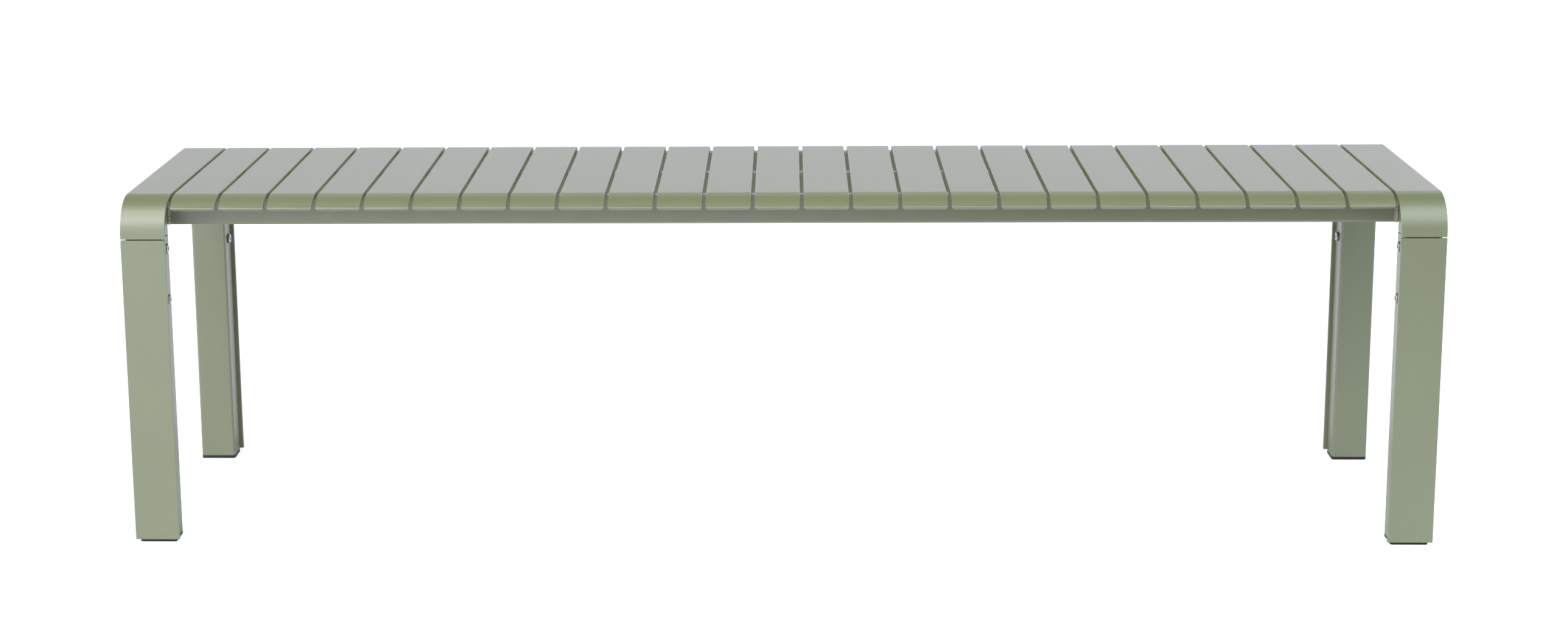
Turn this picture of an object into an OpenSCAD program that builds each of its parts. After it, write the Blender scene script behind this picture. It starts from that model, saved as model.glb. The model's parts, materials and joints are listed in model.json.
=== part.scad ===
// Backless bench: a row of bent flat-bar strips on three rails, between two end frames with bolted legs.
// Millimetres. Origin on the floor at the middle of the bench, +X along its length, -Y to the front, +Z up.

/* [Seat] */
// Number of inner seat strips between the two end bands
slat_count = 25; // [5:1:40]
// Width of every strip, measured along the bench
strip_w = 60; // [56:1:80]
// Thickness of every strip
strip_t = 5; // [4:0.5:8]
// Open gap between neighbouring strips
strip_gap = 5; // [2:0.5:15]
// Depth of the bench over the faces of its legs
seat_d = 450; // [350:5:600]
// Height of the seat above the floor
seat_h = 475; // [420:5:520]
// Outer radius of the bends at the front and rear of every strip
bend_r = 50; // [46:1:55]
// Angle at which the ends of an inner strip stop, from the vertical
lip_angle = 45; // [30:1:70]
// Corner radius of an inner strip's ends
lip_corner_r = 5; // [1:0.5:8]
// Radius that rounds the upper edge of an inner strip's cut ends
lip_edge_r = 2; // [0.5:0.1:2.5]
// Edge radius of the flat bar
edge_r = 0.8; // [0.3:0.1:1.5]

/* [Frame] */
// Width of the leg tubes and cross tubes, measured along the bench
tube_w = 50; // [40:1:54]
// Depth of the leg tubes, measured from front to rear
tube_d = 40; // [36:1:44]
// Wall of every tube
tube_wall = 3; // [2:0.5:4]
// Outer corner radius of every tube
tube_r = 3.5; // [2.5:0.5:5]
// Height of the three rails and of the cross tubes
rail_h = 38; // [30:1:46]
// Width of the three rails
rail_w = 25; // [20:1:45]
// Height of an end band, from the seat down to its cut ends
band_drop = 53; // [51:1:80]

/* [Legs] */
// Open joint between an end band and the leg below it
joint_gap = 1.5; // [0.5:0.5:4]
// Height of the plastic cap's flange under each leg
foot_h = 4.5; // [3:0.5:10]
// Height of the part of the cap that plugs into the leg tube
plug_h = 18; // [10:1:30]
// Length of the inner sleeve inside the lower leg
sleeve_drop = 120; // [112:1:160]
// Clearance between the inner sleeve or cap plug and the leg tube, on each side
sleeve_clear = 0.2; // [0.1:0.05:0.5]

/* [Bolts] */
// Distance from the leg's top end to its upper bolt
bolt_drop = 16; // [10:0.5:24]
// Distance between the two bolts of a leg
bolt_spacing = 70; // [50:1:80]
// Thread diameter of the leg bolts
bolt_d = 8; // [6:1:8]
// Length of the bolt's shank
bolt_len = 20; // [18:1:24]
// Diameter of the bolt's head
head_d = 13; // [12:0.5:14]
// Height of the bolt's head
head_h = 2.8; // [2.6:0.1:5]
// Width across the flats of the head's hexagon socket
socket_af = 5; // [4:0.5:6]
// Thickness of the washer under each head
washer_t = 0.7; // [0.5:0.1:1.5]

/* [Hidden] */
COAT = [0.60, 0.63, 0.53];
COAT_SHADE = [0.45, 0.48, 0.41];
STEEL = [0.78, 0.78, 0.78];
BLACK = [0.12, 0.12, 0.12];
PLASTIC = [0.27, 0.27, 0.29];

ENDS = [["left", -1], ["right", 1]];
SIDES = [["front", -1], ["rear", 1]];

pitch = strip_w + strip_gap;
bench_l = (slat_count + 2) * pitch - strip_gap;
end_x = bench_l / 2 - strip_w / 2;
half_d = seat_d / 2;
flat_y = half_d - bend_r;
inner_r = bend_r - strip_t;
bend_z = seat_h - bend_r;
under_z = seat_h - strip_t;
rail_z = under_z - rail_h;
rail_l = 2 * end_x - tube_w;
band_end_z = seat_h - band_drop;
leg_top_z = band_end_z - joint_gap;
tube_y = half_d - strip_t - tube_d / 2;
stub_gap = 2 * (tube_y - tube_d / 2);
sleeve_w = tube_w - 2 * tube_wall - 2 * sleeve_clear;
sleeve_d = tube_d - 2 * tube_wall - 2 * sleeve_clear;
hollow_r = 1.5;
sleeve_top_z = band_end_z + 7;
hole_clear = 0.2;
thread_clear = 0.05;
insert_wall = 1.5;
insert_len = 12;
head_chamfer = 0.5;
socket_h = 2;
plug_wall = 2.5;
$fn = 64;

function two_digits(n) = n < 10 ? str("0", n) : str(n);
function slat_name(i) = str("slat_", two_digits(i));
function corner(part, side, end) = str(part, "_", side[0], "_", end[0]);

// ---- shared shapes ----

// Rectangle with rounded corners, centred on the origin
module rounded_rect(w, d, r) {
    square([w - 2 * r, d], center = true);
    square([w, d - 2 * r], center = true);
    for (x = [-1, 1], y = [-1, 1])
        translate([x * (w / 2 - r), y * (d / 2 - r)])
            circle(r = r);
}

// Cross-section of a tube, with its hollow
module tube_section(w, d) {
    difference() {
        rounded_rect(w, d, tube_r);
        rounded_rect(w - 2 * tube_wall, d - 2 * tube_wall, hollow_r);
    }
}

// Straight stretch of flat bar lying along Y, from y0 to y1, with its top at z
module bar_along_y(y0, y1, z) {
    translate([0, y0, z - strip_t / 2])
        rotate([-90, 0, 0])
            linear_extrude(y1 - y0)
                rounded_rect(strip_w, strip_t, edge_r);
}

// Bend at the front or rear of a strip, turning down through the given angle
module bar_bend(side, angle) {
    rotate([0, 0, side > 0 ? 180 : 0])
        translate([0, -flat_y, bend_z])
            rotate([90, 0, 90])
                rotate([0, 0, 90])
                    rotate_extrude(angle = angle, $fn = 128)
                        translate([bend_r - strip_t / 2, 0])
                            rounded_rect(strip_t, strip_w, edge_r);
}

// Upright stretch of flat bar with its outer face on the front or rear face of the bench
module bar_upright(side, z0, z1) {
    translate([0, side * (half_d - strip_t / 2), z0])
        linear_extrude(z1 - z0)
            rounded_rect(strip_w, strip_t, edge_r);
}

// Everything at one leg, moved from the middle of the bench to that corner
module at_leg(side, end) {
    translate([end * end_x, side * tube_y, 0])
        children();
}

// One copy of a fastener at each bolt position, with +Z pointing out of the leg's inner face
module at_bolts() {
    for (side = SIDES, end = ENDS, k = [0, 1])
        at_leg(side[1], end[1])
            translate([-end[1] * tube_w / 2, 0, leg_top_z - bolt_drop - k * bolt_spacing])
                rotate([0, -end[1] * 90, 0])
                    children();
}

// ---- seat ----

module end_band(end) {
    color(COAT)
        translate([end * end_x, 0, 0]) {
            bar_along_y(-flat_y, flat_y, seat_h);
            for (side = [-1, 1]) {
                bar_bend(side, 90);
                bar_upright(side, band_end_z, bend_z);
            }
        }
}

// Outline that rounds the corners of a strip's two cut ends, seen from the front
module lip_outline() {
    lip_z = bend_z + inner_r * cos(lip_angle);
    top = seat_h + 1 - lip_z;
    translate([-strip_w / 2, lip_z + lip_corner_r])
        square([strip_w, top - lip_corner_r]);
    translate([-strip_w / 2 + lip_corner_r, lip_z])
        square([strip_w - 2 * lip_corner_r, top]);
    for (x = [-1, 1])
        translate([x * (strip_w / 2 - lip_corner_r), lip_z + lip_corner_r])
            circle(r = lip_corner_r);
}

// Outline that rounds the upper edges of a strip's two cut ends, seen from the side
module lip_section() {
    turn = lip_angle - asin(lip_edge_r / (bend_r - lip_edge_r));
    translate([-flat_y, 0])
        square([2 * flat_y, seat_h + 1]);
    for (side = [0, 1])
        mirror([side, 0])
            translate([-flat_y, bend_z]) {
                circle(r = bend_r - lip_edge_r, $fn = 128);
                rotate(turn) {
                    square([bend_r + 1, bend_r + 1]);
                    translate([0, bend_r - lip_edge_r])
                        circle(r = lip_edge_r);
                }
            }
}

module slat(i) {
    color(COAT)
        translate([(i - (slat_count + 1) / 2) * pitch, 0, 0])
            intersection() {
                union() {
                    bar_along_y(-flat_y, flat_y, seat_h);
                    for (side = [-1, 1])
                        bar_bend(side, lip_angle);
                }
                translate([0, half_d + 1, 0])
                    rotate([90, 0, 0])
                        linear_extrude(seat_d + 2)
                            lip_outline();
                translate([-strip_w / 2 - 1, 0, 0])
                    rotate([90, 0, 90])
                        linear_extrude(strip_w + 2)
                            lip_section();
            }
}

// ---- frame ----

module rail(y) {
    color(COAT_SHADE)
        translate([-rail_l / 2, y, rail_z + rail_h / 2])
            rotate([90, 0, 90])
                linear_extrude(rail_l)
                    tube_section(rail_w, rail_h);
}

// Everything that an end band has room for between its flat, its two bends and its flanges
module inside_band(end) {
    room_w = 2 * (flat_y + inner_r);
    translate([end * end_x, 0, bend_z])
        rotate([90, 0, 90])
            linear_extrude(strip_w, center = true) {
                translate([-flat_y, 0])
                    square([2 * flat_y, inner_r]);
                translate([-room_w / 2, -bend_z])
                    square([room_w, bend_z]);
                for (side = [-1, 1])
                    translate([side * flat_y, 0])
                        circle(r = inner_r, $fn = 128);
            }
}

// Tube under an end band, from stub to stub, with its ends' top edges cut to fit inside the bends
module cross_tube(end) {
    color(COAT_SHADE)
        intersection() {
            translate([end * end_x, -stub_gap / 2, rail_z + rail_h / 2])
                rotate([-90, 0, 0])
                    linear_extrude(stub_gap)
                        tube_section(tube_w, rail_h);
            inside_band(end);
        }
}

// Short tube behind an end band's flange, with its top cut to fit inside the bend
module leg_stub(side, end) {
    color(COAT)
        intersection() {
            at_leg(side, end)
                translate([0, 0, band_end_z])
                    linear_extrude(under_z - band_end_z)
                        tube_section(tube_w, tube_d);
            inside_band(end);
        }
}

// ---- legs ----

// Inner sleeve fixed in the stub, on which the lower leg slides
module leg_sleeve(side, end) {
    sleeve_z = leg_top_z - sleeve_drop;
    color(STEEL)
        difference() {
            at_leg(side, end)
                translate([0, 0, sleeve_z])
                    linear_extrude(sleeve_top_z - sleeve_z)
                        difference() {
                            rounded_rect(sleeve_w, sleeve_d, hollow_r);
                            rounded_rect(sleeve_w - 2 * tube_wall, sleeve_d - 2 * tube_wall, 1);
                        }
            at_bolts()
                translate([0, 0, -2.5 * tube_wall])
                    cylinder(d = bolt_d + 2 * insert_wall, h = 2.5 * tube_wall);
        }
}

module leg_plate(side, end) {
    color(COAT)
        translate([end * end_x, 0, 0])
            bar_upright(side, foot_h, leg_top_z);
}

module leg_tube(side, end) {
    color(COAT)
        difference() {
            at_leg(side, end)
                translate([0, 0, foot_h])
                    linear_extrude(leg_top_z - foot_h)
                        tube_section(tube_w, tube_d);
            at_bolts()
                translate([0, 0, -1.5 * tube_wall])
                    cylinder(d = bolt_d + 2 * hole_clear, h = 3 * tube_wall);
        }
}

// Plastic cap: a flange that the leg stands on and a hollow plug inside the leg tube
module foot_cap(side, end) {
    color(PLASTIC)
        at_leg(side, end) {
            linear_extrude(foot_h)
                rounded_rect(tube_w, tube_d, tube_r);
            translate([0, 0, foot_h])
                linear_extrude(plug_h)
                    difference() {
                        rounded_rect(sleeve_w, sleeve_d, hollow_r);
                        rounded_rect(sleeve_w - 2 * plug_wall, sleeve_d - 2 * plug_wall, 1);
                    }
        }
}

// ---- fasteners ----

module leg_bolts() {
    color(STEEL)
        at_bolts() {
            difference() {
                translate([0, 0, washer_t])
                    rotate_extrude()
                        polygon([
                            [0, 0],
                            [head_d / 2, 0],
                            [head_d / 2, head_h - head_chamfer],
                            [head_d / 2 - head_chamfer, head_h],
                            [0, head_h]
                        ]);
                translate([0, 0, washer_t + head_h - socket_h])
                    cylinder(d = socket_af / cos(30), h = socket_h + 1, $fn = 6);
            }
            translate([0, 0, washer_t - bolt_len])
                cylinder(d = bolt_d, h = bolt_len);
        }
}

module bolt_washers() {
    color(BLACK)
        at_bolts()
            difference() {
                cylinder(d = head_d + 1, h = washer_t);
                translate([0, 0, -1])
                    cylinder(d = bolt_d + 2 * hole_clear, h = washer_t + 2);
            }
}

// Threaded inserts pressed into the inner sleeves
module threaded_inserts() {
    outer_z = -tube_wall - sleeve_clear;
    color(STEEL)
        at_bolts()
            translate([0, 0, outer_z - insert_len])
                difference() {
                    cylinder(d = bolt_d + 2 * insert_wall, h = insert_len);
                    translate([0, 0, -1])
                        cylinder(d = bolt_d + 2 * thread_clear, h = insert_len + 2);
                }
}

// ---- one line for each node ----

for (end = ENDS)
    end_band(end[1]);
for (i = [1:slat_count])
    slat(i);
rail(-(flat_y - rail_w / 2));  // rail_front
rail(0);  // rail_centre
rail(flat_y - rail_w / 2);  // rail_rear
for (end = ENDS)
    cross_tube(end[1]);
for (side = SIDES, end = ENDS) {
    leg_stub(side[1], end[1]);
    leg_sleeve(side[1], end[1]);
    leg_plate(side[1], end[1]);
    leg_tube(side[1], end[1]);
    foot_cap(side[1], end[1]);
}
leg_bolts();
bolt_washers();
threaded_inserts();
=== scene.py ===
"""Backless bench of powder-coated flat bar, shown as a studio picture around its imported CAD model."""

import json
import math
import random

import bmesh
import bpy
from mathutils import Matrix, Vector


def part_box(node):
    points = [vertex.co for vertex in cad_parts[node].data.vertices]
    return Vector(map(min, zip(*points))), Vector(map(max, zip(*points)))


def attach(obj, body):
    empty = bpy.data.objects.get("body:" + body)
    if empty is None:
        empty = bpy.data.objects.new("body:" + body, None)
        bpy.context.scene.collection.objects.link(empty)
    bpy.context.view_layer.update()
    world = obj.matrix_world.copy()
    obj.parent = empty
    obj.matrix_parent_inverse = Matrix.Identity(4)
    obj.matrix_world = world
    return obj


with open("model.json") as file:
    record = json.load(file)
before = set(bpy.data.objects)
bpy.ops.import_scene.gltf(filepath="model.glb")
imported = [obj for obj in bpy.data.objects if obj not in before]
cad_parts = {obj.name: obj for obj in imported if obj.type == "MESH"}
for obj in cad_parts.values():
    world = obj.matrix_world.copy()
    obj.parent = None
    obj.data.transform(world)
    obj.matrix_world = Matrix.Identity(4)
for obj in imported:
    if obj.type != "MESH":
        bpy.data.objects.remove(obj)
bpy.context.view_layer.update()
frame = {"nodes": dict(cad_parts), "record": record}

MM = 0.001
NODES = frame["nodes"]
ENDS = ("left", "right")
SCENE = bpy.context.scene


# ---- camera ----

CAMERA_AT = Vector((0.0156, -3.7412, 1.1607))
CAMERA_YAW = math.radians(-2.373)
CAMERA_TILT = math.radians(11.956)
CAMERA_ROLL = math.radians(0.592)
CAMERA_LENS = 62.5
CAMERA_SHIFT = (0.0671, -0.0446)
SENSOR_WIDTH = 36.0
NEAR_CLIP, FAR_CLIP = 0.05, 200.0


def make_camera():
    """In front of the bench, above the seat, looking slightly down."""
    data = bpy.data.cameras.new("camera")
    data.sensor_width = SENSOR_WIDTH
    data.lens = CAMERA_LENS
    data.shift_x, data.shift_y = CAMERA_SHIFT
    data.clip_start, data.clip_end = NEAR_CLIP, FAR_CLIP
    camera = bpy.data.objects.new("camera", data)
    SCENE.collection.objects.link(camera)
    turn = Matrix.Rotation(-CAMERA_YAW, 4, "Z") @ Matrix.Rotation(math.pi / 2 - CAMERA_TILT, 4, "X")
    camera.matrix_world = Matrix.Translation(CAMERA_AT) @ turn @ Matrix.Rotation(-CAMERA_ROLL, 4, "Z")
    SCENE.camera = camera


# ---- material helpers ----

def new_material(name):
    """A material with a Principled shader; returns (material, nodes, links, shader)."""
    material = bpy.data.materials.new(name)
    material.use_nodes = True
    tree = material.node_tree
    return material, tree.nodes, tree.links, tree.nodes["Principled BSDF"]


def noise(nodes, links, where, scale, detail=2.0, rough=0.5):
    """A noise texture's value; the scale is about the number of features in a metre."""
    node = nodes.new("ShaderNodeTexNoise")
    node.inputs["Scale"].default_value = scale
    node.inputs["Detail"].default_value = detail
    node.inputs["Roughness"].default_value = rough
    links.new(where, node.inputs["Vector"])
    return node.outputs["Fac"]


def remap(nodes, links, value, low, high, to_low, to_high):
    """Takes a value from one range to another, levelling off smoothly at both ends."""
    node = nodes.new("ShaderNodeMapRange")
    node.interpolation_type = "SMOOTHSTEP"
    links.new(value, node.inputs["Value"])
    for key, number in zip(("From Min", "From Max", "To Min", "To Max"), (low, high, to_low, to_high)):
        node.inputs[key].default_value = number
    return node.outputs["Result"]


def math_node(nodes, links, operation, a, b):
    """One sum or product of two values, each a number or a socket."""
    node = nodes.new("ShaderNodeMath")
    node.operation = operation
    for socket, value in zip(node.inputs, (a, b)):
        if isinstance(value, (int, float)):
            socket.default_value = value
        else:
            links.new(value, socket)
    return node.outputs["Value"]


def mix_colour(nodes, links, factor, a, b):
    """Mixes two colours, each a tuple or a socket."""
    node = nodes.new("ShaderNodeMix")
    node.data_type = "RGBA"
    links.new(factor, node.inputs["Factor"])
    for socket, value in ((node.inputs[6], a), (node.inputs[7], b)):
        if isinstance(value, tuple):
            socket.default_value = (*value, 1.0)
        else:
            links.new(value, socket)
    return node.outputs[2]


def bump(nodes, links, height, distance, strength=1.0, normal=None):
    """A normal disturbed by a height, over another normal where one is given."""
    node = nodes.new("ShaderNodeBump")
    node.inputs["Distance"].default_value = distance
    node.inputs["Strength"].default_value = strength
    links.new(height, node.inputs["Height"])
    if normal is not None:
        links.new(normal, node.inputs["Normal"])
    return node.outputs["Normal"]


def object_coords(nodes):
    """Coordinates in metres that stay with the piece."""
    return nodes.new("ShaderNodeTexCoord").outputs["Object"]


# ---- materials ----

COAT_LIGHT = (0.217, 0.251, 0.122)
COAT_DARK = (0.197, 0.228, 0.108)
BRIGHT_LIGHT = (0.52, 0.52, 0.52)
BRIGHT_DARK = (0.38, 0.38, 0.38)
ZINC_LIGHT = (0.60, 0.61, 0.62)
ZINC_DARK = (0.42, 0.43, 0.44)
WASHER_LIGHT = (0.022, 0.022, 0.022)
WASHER_DARK = (0.010, 0.010, 0.010)
FOOT_LIGHT = (0.030, 0.030, 0.034)
FOOT_DARK = (0.018, 0.018, 0.021)


def powder_coat():
    """Satin powder coat with a fine texture: faint mottling, orange peel and a sand-like grain."""
    material, nodes, links, shader = new_material("powder_coat")
    where = object_coords(nodes)
    cloud = noise(nodes, links, where, 9.0, 3.0)
    mottle = noise(nodes, links, where, 1100.0, 2.0)
    cloud_part = math_node(nodes, links, "MULTIPLY", cloud, 0.25)
    mottle_part = math_node(nodes, links, "MULTIPLY", mottle, 0.75)
    share = math_node(nodes, links, "ADD", cloud_part, mottle_part)
    shade = remap(nodes, links, share, 0.35, 0.65, 0.0, 1.0)
    links.new(mix_colour(nodes, links, shade, COAT_DARK, COAT_LIGHT), shader.inputs["Base Color"])
    links.new(remap(nodes, links, mottle, 0.3, 0.7, 0.33, 0.41), shader.inputs["Roughness"])
    peel = noise(nodes, links, where, 700.0, 1.0)
    grain = noise(nodes, links, where, 2200.0, 2.0, 0.6)
    peeled = bump(nodes, links, peel, 0.00001, 0.5)
    links.new(bump(nodes, links, grain, 0.00001, 0.6, peeled), shader.inputs["Normal"])
    shader.inputs["IOR"].default_value = 2.0
    return material


def bright_steel():
    """Stainless steel of the bolts, with small scuffs."""
    material, nodes, links, shader = new_material("bright_steel")
    where = object_coords(nodes)
    scuff = noise(nodes, links, where, 900.0, 4.0, 0.65)
    shade = remap(nodes, links, scuff, 0.35, 0.65, 0.0, 1.0)
    links.new(mix_colour(nodes, links, shade, BRIGHT_DARK, BRIGHT_LIGHT), shader.inputs["Base Color"])
    links.new(remap(nodes, links, scuff, 0.3, 0.7, 0.20, 0.34), shader.inputs["Roughness"])
    links.new(bump(nodes, links, scuff, 0.00002, 0.4), shader.inputs["Normal"])
    shader.inputs["Metallic"].default_value = 1.0
    return material


def zinc_steel():
    """Zinc-plated steel with soft patches, for the parts inside the legs."""
    material, nodes, links, shader = new_material("zinc_steel")
    where = object_coords(nodes)
    patch = noise(nodes, links, where, 160.0, 3.0)
    shade = remap(nodes, links, patch, 0.3, 0.7, 0.0, 1.0)
    links.new(mix_colour(nodes, links, shade, ZINC_DARK, ZINC_LIGHT), shader.inputs["Base Color"])
    links.new(remap(nodes, links, patch, 0.3, 0.7, 0.35, 0.5), shader.inputs["Roughness"])
    links.new(bump(nodes, links, patch, 0.00003, 0.3), shader.inputs["Normal"])
    shader.inputs["Metallic"].default_value = 1.0
    return material


def moulded_plastic(name, dark, light, grain_scale, roughness):
    """Matt moulded plastic with a fine spark-eroded grain."""
    material, nodes, links, shader = new_material(name)
    where = object_coords(nodes)
    grain = noise(nodes, links, where, grain_scale, 2.0)
    cloud = noise(nodes, links, where, 45.0, 3.0)
    shade = remap(nodes, links, cloud, 0.3, 0.7, 0.0, 1.0)
    links.new(mix_colour(nodes, links, shade, dark, light), shader.inputs["Base Color"])
    rough = remap(nodes, links, grain, 0.3, 0.7, roughness - 0.06, roughness + 0.06)
    links.new(rough, shader.inputs["Roughness"])
    links.new(bump(nodes, links, grain, 0.00004, 0.7), shader.inputs["Normal"])
    return material


# ---- finish of the CAD nodes ----

# Width of the softened edges, by the start of a node's name
EDGE_WIDTHS = {
    "slat_": 0.5 * MM,
    "end_band_": 0.5 * MM,
    "leg_plate_": 0.5 * MM,
    "leg_tube_": 0.4 * MM,
    "leg_stub_": 0.4 * MM,
    "foot_cap_": 0.6 * MM,
    "leg_bolts": 0.15 * MM,
    "bolt_washers": 0.12 * MM,
}
WELD_DISTANCE = 0.001 * MM
# Edges above this angle are rounded
SHARP_ANGLE = math.radians(40)
# Faces that meet below this angle become one
FLAT_ANGLE = math.radians(0.1)


def soften(piece, width):
    """Joins a CAD node's flat faces and rounds its sharp edges, with modifiers only."""
    weld = piece.modifiers.new("weld", "WELD")
    weld.merge_threshold = WELD_DISTANCE
    flat = piece.modifiers.new("flat", "DECIMATE")
    flat.decimate_type = "DISSOLVE"
    flat.angle_limit = FLAT_ANGLE
    bevel = piece.modifiers.new("bevel", "BEVEL")
    bevel.width = width
    bevel.segments = 2
    bevel.limit_method = "ANGLE"
    bevel.angle_limit = SHARP_ANGLE
    bevel.use_clamp_overlap = True
    bevel.harden_normals = False
    normals = piece.modifiers.new("normals", "WEIGHTED_NORMAL")
    normals.weight = 80
    normals.keep_sharp = False


def finish_nodes(materials):
    """Gives each CAD node its material and its softened edges."""
    for row in frame["record"]["subparts"]:
        piece = NODES[row["node"]]
        for slot in piece.material_slots:
            slot.material = materials[row["material_slot"]]
        for start, width in EDGE_WIDTHS.items():
            if piece.name.startswith(start):
                soften(piece, width)


# ---- weld beads ----

BEAD_STEP = 0.8 * MM
LEAST_STEPS = 6
SECTION_POINTS = 7
LUMP_SPACING = 7.0 * MM
LUMP_SHARE = 0.06
# The lumps come sooner or later than even spacing would put them, by this share, in waves of this length
DRIFT_SHARE = 0.25
DRIFT_LENGTH = 3.1 * LUMP_SPACING
# 1 makes a bead's section a quarter circle, 2 makes it a straight slope
ROUNDNESS = 1.5
# A bead tapers towards its tips over this many legs, down to this share of its size
TIP_LENGTH = 1.3
TIP_SIZE = 0.25
# A leg is how far a bead reaches along each of the two faces that it joins
LEFT_LEG, RIGHT_LEG = 4.0 * MM, 6.0 * MM
STITCH_LEG, STITCH_LENGTH = 3.5 * MM, 26 * MM
STUB_LEG, STUB_INSET = 3.5 * MM, 4 * MM
LEDGE_LEG, LEDGE_LENGTH, LEDGE_SPACING = 3.2 * MM, 32 * MM, 120 * MM
MERGE_DISTANCE = 0.0001 * MM
DOWN = Vector((0, 0, -1))
RAILS = ("rail_front", "rail_centre", "rail_rear")


def straight(start, end, face_a, face_b, leg):
    """The stations (point, face_a, face_b, leg) of a bead running straight along the corner of two faces."""
    start, end = Vector(start), Vector(end)
    count = max(LEAST_STEPS, round((end - start).length / BEAD_STEP))
    return [(start.lerp(end, i / count), Vector(face_a), Vector(face_b), leg) for i in range(count + 1)]


def bead(mesh, stations, luck):
    """Adds one fillet weld to a bmesh: smooth lumps along its stations, and rounded ends."""
    travel = [0.0]
    for (a, *_), (b, *_) in zip(stations, stations[1:]):
        travel.append(travel[-1] + (b - a).length)
    phase, slow_phase = luck.random(), luck.random()
    rings = []
    for along, (base, face_a, face_b, leg) in zip(travel, stations):
        from_tip = min(1.0, min(along, travel[-1] - along) / (TIP_LENGTH * leg))
        taper = TIP_SIZE + (1 - TIP_SIZE) * math.sqrt(1 - (1 - from_tip) ** 2)
        drift = DRIFT_SHARE * math.sin(2 * math.pi * (along / DRIFT_LENGTH + slow_phase))
        turns = along / LUMP_SPACING + drift + phase
        size = leg * taper * (1 - LUMP_SHARE + LUMP_SHARE * math.cos(2 * math.pi * turns))
        ring = [mesh.verts.new(base)]
        for j in range(SECTION_POINTS):
            turn = j / (SECTION_POINTS - 1) * math.pi / 2
            out = face_a * math.sin(turn) ** ROUNDNESS + face_b * math.cos(turn) ** ROUNDNESS
            ring.append(mesh.verts.new(base + out * size))
        rings.append(ring)
    for low, high in zip(rings, rings[1:]):
        for j in range(len(low)):
            k = (j + 1) % len(low)
            mesh.faces.new((low[j], low[k], high[k], high[j]))
    mesh.faces.new(rings[0])
    mesh.faces.new(list(reversed(rings[-1])))


def bead_object(name, beads, seed):
    """One object made of many fillet welds, each given as a list of stations."""
    mesh = bmesh.new()
    luck = random.Random(seed)
    for stations in beads:
        bead(mesh, stations, luck)
    bmesh.ops.remove_doubles(mesh, verts=mesh.verts, dist=MERGE_DISTANCE)
    bmesh.ops.recalc_face_normals(mesh, faces=mesh.faces)
    data = bpy.data.meshes.new(name)
    mesh.to_mesh(data)
    mesh.free()
    data.polygons.foreach_set("use_smooth", [True] * len(data.polygons))
    piece = bpy.data.objects.new(name, data)
    SCENE.collection.objects.link(piece)
    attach(piece, "root")
    return piece


def rail_end_beads():
    """Upright welds on the front and rear faces of each rail's two ends."""
    found = []
    for rail in RAILS:
        low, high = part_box(rail)
        for x, inward, leg in ((low.x, 1, LEFT_LEG), (high.x, -1, RIGHT_LEG)):
            for y, side in ((low.y, -1), (high.y, 1)):
                start, end = (x, y, high.z), (x, y, low.z)
                found.append(straight(start, end, (inward, 0, 0), (0, side, 0), leg))
    return found


def slat_beads():
    """Stitches under each seat strip: on both sides of the centre rail, and inside the other two."""
    half = STITCH_LENGTH / 2
    found = []
    for name in sorted(NODES):
        if not name.startswith("slat_"):
            continue
        low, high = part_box(name)
        x = (low.x + high.x) / 2
        for rail in RAILS:
            rail_low, rail_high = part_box(rail)
            for y, side in ((rail_low.y, -1), (rail_high.y, 1)):
                outer = abs(y) > abs(rail_low.y + rail_high.y) / 2 and rail != "rail_centre"
                if not outer:
                    start, end = (x - half, y, rail_high.z), (x + half, y, rail_high.z)
                    found.append(straight(start, end, DOWN, (0, side, 0), STITCH_LEG))
    return found


def frame_beads():
    """Welds between stubs and cross tubes, seen from below, and between cross tubes and end bands."""
    half = LEDGE_LENGTH / 2
    found = []
    for end_name in ENDS:
        low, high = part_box("cross_tube_" + end_name)
        for y, side in ((low.y, 1), (high.y, -1)):
            start, end = (low.x + STUB_INSET, y, low.z), (high.x - STUB_INSET, y, low.z)
            found.append(straight(start, end, DOWN, (0, side, 0), STUB_LEG))
        for x, face in ((low.x, (-1, 0, 0)), (high.x, (1, 0, 0))):
            for y in (-LEDGE_SPACING, 0.0, LEDGE_SPACING):
                start, end = (x, y - half, high.z), (x, y + half, high.z)
                found.append(straight(start, end, DOWN, face, LEDGE_LEG))
    return found


# ---- stage and light ----

AMBIENT = 0.02
FLOOR_HALF = 30.0
FLOOR_COLOUR = (0.79, 0.80, 0.88, 1)
# What the floor gives off by itself, to the camera only
FLOOR_LIFT = 0.65
# The black card's centre, and its length and depth
FLAG_AT = (2.0, -2.6, 0.004)
FLAG_SIZE = (3.4, 2.4)
LIGHT_DISTANCE = 12.0
LIGHT_AIM = Vector((0, 0, 0.35))
LIGHT_WIDTH = math.radians(45)
# Just above the floor, so that the floor doesn't hide the glow
GLOW_HEIGHT = 0.002
# Colours of light
WHITE = (1.0, 1.0, 1.0)
LILAC = (1.08, 1.0, 1.22)
PALE_LILAC = (1.04, 1.0, 1.07)
BLUE = (0.98, 1.0, 1.20)
TEAL = (0.87, 1.0, 1.13)
WARM = (1.05, 1.0, 0.92)
VIOLET = (1.05, 1.0, 1.33)
PALE_BLUE = (1.0, 1.0, 1.10)
DEEP_BLUE = (1.0, 1.0, 1.45)


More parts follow.
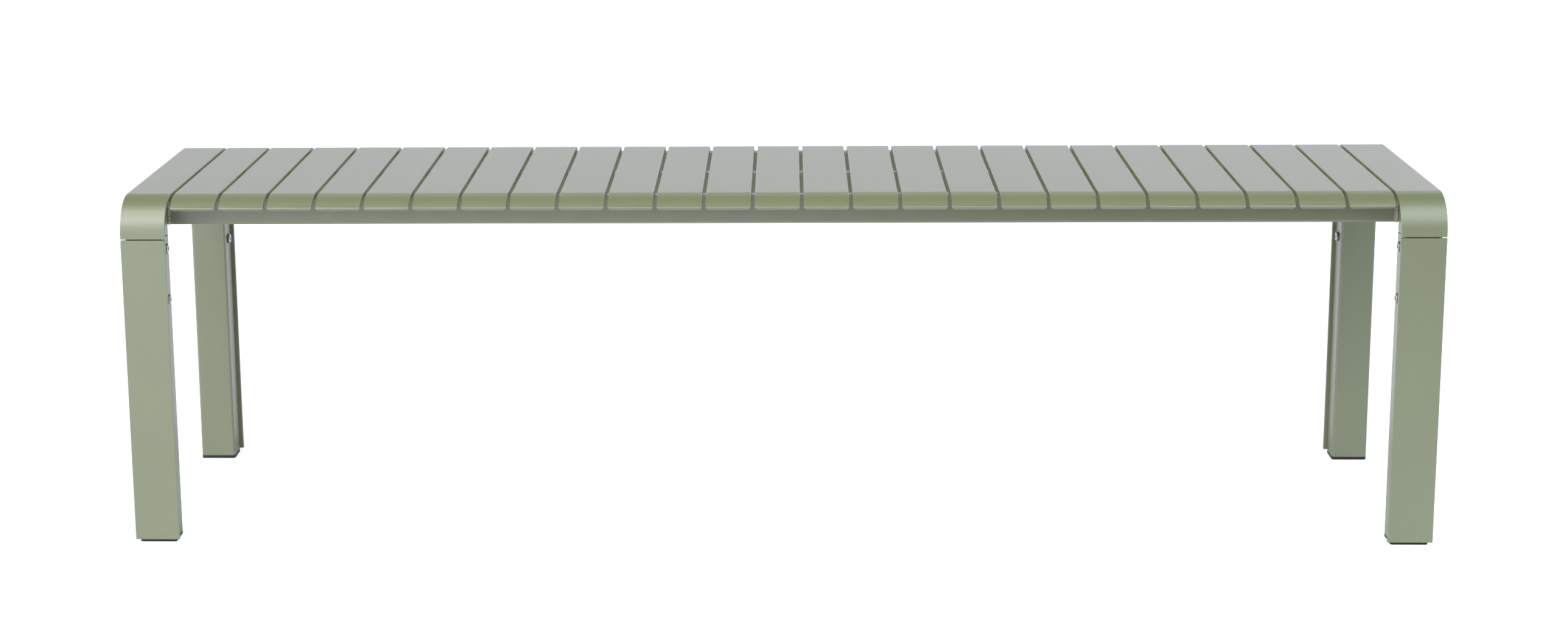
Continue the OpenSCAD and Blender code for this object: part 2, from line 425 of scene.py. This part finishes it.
def softbox(name, azimuth, low, high, brightness, colour=WHITE):
    """A softbox facing the bench, between two elevations; azimuth 0 is in front and 90 at the right."""
    turn, rise = math.radians(azimuth), math.radians((low + high) / 2)
    out = Vector((math.sin(turn) * math.cos(rise), -math.cos(turn) * math.cos(rise), math.sin(rise)))
    data = bpy.data.lights.new(name, "AREA")
    data.shape = "RECTANGLE"
    data.size = 2 * LIGHT_DISTANCE * math.tan(LIGHT_WIDTH / 2) * math.cos(rise)
    data.size_y = 2 * LIGHT_DISTANCE * math.tan(math.radians((high - low) / 2))
    data.energy = math.pi * data.size * data.size_y * brightness
    data.color = colour
    light = bpy.data.objects.new(name, data)
    SCENE.collection.objects.link(light)
    light.location = LIGHT_AIM + out * LIGHT_DISTANCE
    light.rotation_mode = "QUATERNION"
    light.rotation_quaternion = (-out).to_track_quat("-Z", "Y")
    light.visible_camera = False


def floor_glow(name, near, far, half_width, brightness, colour):
    """A pale glow lying on the floor behind the bench, as the bright backdrop that its legs reflect."""
    data = bpy.data.lights.new(name, "AREA")
    data.shape = "RECTANGLE"
    data.size, data.size_y = 2 * half_width, far - near
    data.energy = math.pi * data.size * data.size_y * brightness
    data.color = colour
    light = bpy.data.objects.new(name, data)
    SCENE.collection.objects.link(light)
    light.location = (0, (near + far) / 2, GLOW_HEIGHT)
    light.rotation_euler = (math.pi, 0, 0)
    light.visible_camera = False


def make_lights():
    """A tall key at the front left, weaker fills in front and at the right, and low light at the back."""
    softbox("key_low", -45, 3, 29, 3.3, LILAC)
    softbox("key", -45, 29, 43, 6.1, PALE_LILAC)
    softbox("key_high", -45, 43, 71, 2.9, PALE_LILAC)
    softbox("front", 0, 29, 57, 1.95, BLUE)
    softbox("fill", 45, 15, 71, 2.05, TEAL)
    softbox("side_left", -90, 3, 29, 1.65, WARM)
    softbox("side_right", 90, 3, 15, 1.65)
    softbox("side_right_high", 90, 43, 57, 1.25, WARM)
    softbox("back", 180, 3, 15, 1.95, VIOLET)
    softbox("back_high", 180, 29, 43, 1.05, WARM)
    softbox("back_left", -135, 3, 15, 3.6)
    softbox("back_right", 135, 15, 29, 4.9, PALE_BLUE)
    floor_glow("glow_behind", 0.3, 5.0, 2.5, 0.35, DEEP_BLUE)


def make_world():
    """White to the camera, and almost nothing as a light."""
    world = bpy.data.worlds.new("studio")
    SCENE.world = world
    world.use_nodes = True
    nodes, links = world.node_tree.nodes, world.node_tree.links
    seen = nodes.new("ShaderNodeLightPath").outputs["Is Camera Ray"]
    links.new(remap(nodes, links, seen, 0.0, 1.0, AMBIENT, 1.0), nodes["Background"].inputs["Strength"])
    nodes["Background"].inputs["Color"].default_value = (1, 1, 1, 1)


def flat_grid(name, segments, half, material):
    """A level square, centred on the origin."""
    mesh = bmesh.new()
    bmesh.ops.create_grid(mesh, x_segments=segments, y_segments=segments, size=half)
    data = bpy.data.meshes.new(name)
    mesh.to_mesh(data)
    mesh.free()
    data.materials.append(material)
    piece = bpy.data.objects.new(name, data)
    SCENE.collection.objects.link(piece)
    return piece


def make_floor():
    """A white floor, lifted towards pure white where the camera sees it."""
    material, nodes, links, shader = new_material("pale_floor")
    shader.inputs["Base Color"].default_value = FLOOR_COLOUR
    shader.inputs["Roughness"].default_value = 0.9
    shader.inputs["Specular IOR Level"].default_value = 0.1
    shader.inputs["Emission Color"].default_value = (1, 1, 1, 1)
    seen = nodes.new("ShaderNodeLightPath").outputs["Is Camera Ray"]
    links.new(remap(nodes, links, seen, 0.0, 1.0, 0.0, FLOOR_LIFT), shader.inputs["Emission Strength"])
    floor = flat_grid("floor", 8, FLOOR_HALF, material)


def make_flag():
    """A black card on the floor at the front right: it darkens what the right end reflects."""
    material, _, _, shader = new_material("black_card")
    shader.inputs["Base Color"].default_value = (0.02, 0.02, 0.02, 1)
    shader.inputs["Roughness"].default_value = 0.9
    flag = flat_grid("flag", 1, 0.5, material)
    flag.location = FLAG_AT
    flag.scale = (*FLAG_SIZE, 1.0)
    flag.visible_camera = False
    flag.visible_shadow = False


# ---- build ----

def main():
    make_camera()
    materials = {
        "coated_steel": powder_coat(),
        "bolt_steel": bright_steel(),
        "bare_steel": zinc_steel(),
        "washer_black": moulded_plastic("black_washer", WASHER_DARK, WASHER_LIGHT, 1400.0, 0.55),
        "foot_plastic": moulded_plastic("foot_plastic", FOOT_DARK, FOOT_LIGHT, 1100.0, 0.50),
    }
    finish_nodes(materials)
    welds = (
        ("rail_weld_beads", rail_end_beads(), 3),
        ("slat_weld_beads", slat_beads(), 5),
        ("frame_weld_beads", frame_beads(), 7),
    )
    for name, beads, seed in welds:
        piece = bead_object(name, beads, seed)
        piece.data.materials.append(materials["coated_steel"])
    make_world()
    make_floor()
    make_flag()
    make_lights()
    SCENE.view_settings.view_transform = "Standard"


main()
